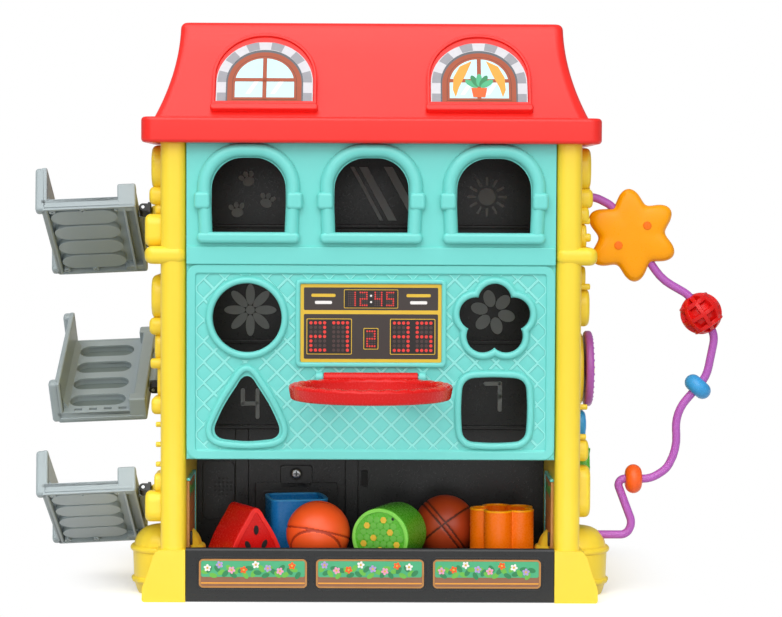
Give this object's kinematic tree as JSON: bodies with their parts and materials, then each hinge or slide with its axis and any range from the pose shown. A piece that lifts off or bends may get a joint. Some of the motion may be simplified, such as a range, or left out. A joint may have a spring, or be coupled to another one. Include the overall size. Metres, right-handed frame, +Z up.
{
  "type": "activity house",
  "caption": "Toy activity house with shape-sorter front, folding ball hoop, fold-up ball ramps, bead wire, spinner and a bay of loose sorting blocks and balls.",
  "frame": {"origin": "centre of the flat underside of the base", "axes": "+X to the right seen from the front, +Y to the back, +Z up"},
  "size_m": [0.4917, 0.3465, 0.409],
  "materials": {
    "red_abs": "gloss moulded",
    "teal_abs": "satin gloss moulded",
    "yellow_abs": "satin gloss moulded",
    "black_abs": "fine texture moulded",
    "grey_abs": "satin moulded",
    "purple_abs": "gloss moulded",
    "orange_abs": "gloss moulded",
    "blue_abs": "gloss moulded",
    "green_abs": "gloss moulded",
    "orange_pvc": "soft vinyl",
    "brown_pvc": "soft vinyl",
    "printed_film": "printed film",
    "steel": "turned",
    "cell_jacket": "printed jacket",
    "board": "solder resist",
    "speaker_frame": "black paint"
  },
  "bodies": {
    "house": {"base_plate": "black_abs", "base_tray": "black_abs", "core_wall": "black_abs", "left_side_wall": "yellow_abs", "right_side_wall": "yellow_abs", "upper_front_panel": "teal_abs", "lower_front_panel": "teal_abs", "rear_panel": "teal_abs", "roof": "red_abs", "case_screws": "steel", "score_label": "printed_film", "planter_labels": "printed_film", "left_attic_label": "printed_film", "right_attic_label": "printed_film", "left_bay_liner": "yellow_abs", "right_bay_liner": "yellow_abs", "left_liner_trim": "teal_abs", "right_liner_trim": "teal_abs", "leaf_plate": "green_abs", "blue_plate": "blue_abs", "battery_box": "black_abs", "battery_cells": "cell_jacket", "battery_contacts": "steel", "battery_door": "black_abs", "battery_screw": "steel", "circuit_board": "board", "speaker": "speaker_frame", "hoop_pin": "steel", "hinge_bar_top": "black_abs", "hinge_bar_middle": "black_abs", "hinge_bar_bottom": "black_abs", "hinge_pin_top": "steel", "hinge_pin_middle": "steel", "hinge_pin_bottom": "steel", "bead_wire": "purple_abs", "spinner_axle": "yellow_abs"},
    "power_slider": {"power_slider": "black_abs"},
    "hoop": {"hoop": "red_abs"},
    "ramp_top": {"ramp_top": "grey_abs"},
    "ramp_middle": {"ramp_middle": "grey_abs"},
    "ramp_bottom": {"ramp_bottom": "grey_abs"},
    "star": {"star_front": "orange_abs", "star_back": "orange_abs", "star_pins": "orange_abs"},
    "lattice_bead": {"lattice_bead": "red_abs"},
    "blue_bead": {"blue_bead": "blue_abs"},
    "orange_bead": {"orange_bead": "orange_abs"},
    "spinner": {"spinner": "purple_abs"},
    "triangle_block": {"triangle_block": "red_abs"},
    "square_block": {"square_block": "blue_abs"},
    "round_block": {"round_block": "green_abs"},
    "flower_block": {"flower_block": "orange_abs"},
    "orange_ball": {"orange_ball": "orange_pvc"},
    "brown_ball": {"brown_ball": "brown_pvc"}
  },
  "joints": [
    {"name": "ramp_top_fold", "type": "hinge", "parent": "house", "child": "ramp_top", "pos_m": [-0.1635, -0.0475, 0.264], "axis": [0, 0.891, -0.454], "range_deg": [0, 45]},
    {"name": "ramp_middle_fold", "type": "hinge", "parent": "house", "child": "ramp_middle", "pos_m": [-0.1635, 0.033, 0.1536], "axis": [0, 0.891, 0.454], "range_deg": [0, 45]},
    {"name": "ramp_bottom_fold", "type": "hinge", "parent": "house", "child": "ramp_bottom", "pos_m": [-0.1635, -0.0475, 0.0627], "axis": [0, 0.891, -0.454], "range_deg": [0, 35]},
    {"name": "hoop_fold", "type": "hinge", "parent": "house", "child": "hoop", "pos_m": [0, -0.1155, 0.159], "axis": [-1, 0, 0], "range_deg": [0, 85]},
    {"name": "star_spin", "type": "hinge", "parent": "house", "child": "star", "pos_m": [0.18745, -0.067, 0.25883], "axis": [0.5695, 0, -0.822], "continuous": true},
    {"name": "lattice_bead_spin", "type": "hinge", "parent": "house", "child": "lattice_bead", "pos_m": [0.23805, -0.067, 0.20274], "axis": [0.5653, 0, -0.8249], "continuous": true},
    {"name": "blue_bead_spin", "type": "hinge", "parent": "house", "child": "blue_bead", "pos_m": [0.2362, -0.067, 0.14972], "axis": [-0.6544, 0, -0.7562], "continuous": true},
    {"name": "orange_bead_spin", "type": "hinge", "parent": "house", "child": "orange_bead", "pos_m": [0.19025, -0.067, 0.0828], "axis": [-1, 0, 0], "continuous": true},
    {"name": "spinner_spin", "type": "hinge", "parent": "house", "child": "spinner", "pos_m": [0.1578, -0.05, 0.1614], "axis": [1, 0, 0], "continuous": true},
    {"name": "power_slide", "type": "slide", "parent": "house", "child": "power_slider", "axis": [1, 0, 0], "range_m": [0, 0.008]},
    {"name": "triangle_block_lift", "type": "slide", "parent": "house", "child": "triangle_block", "axis": [0, 0, 1], "range_m": [0, 0.045]},
    {"name": "square_block_lift", "type": "slide", "parent": "house", "child": "square_block", "axis": [0, 0, 1], "range_m": [0, 0.045]},
    {"name": "round_block_lift", "type": "slide", "parent": "house", "child": "round_block", "axis": [0, 0, 1], "range_m": [0, 0.045]},
    {"name": "flower_block_lift", "type": "slide", "parent": "house", "child": "flower_block", "axis": [0, 0, 1], "range_m": [0, 0.045]},
    {"name": "brown_ball_lift", "type": "slide", "parent": "house", "child": "brown_ball", "axis": [0, 0, 1], "range_m": [0, 0.045]},
    {"name": "orange_ball_out", "type": "slide", "parent": "house", "child": "orange_ball", "axis": [0, -0.8192, 0.5736], "range_m": [0, 0.11]}
  ]
}
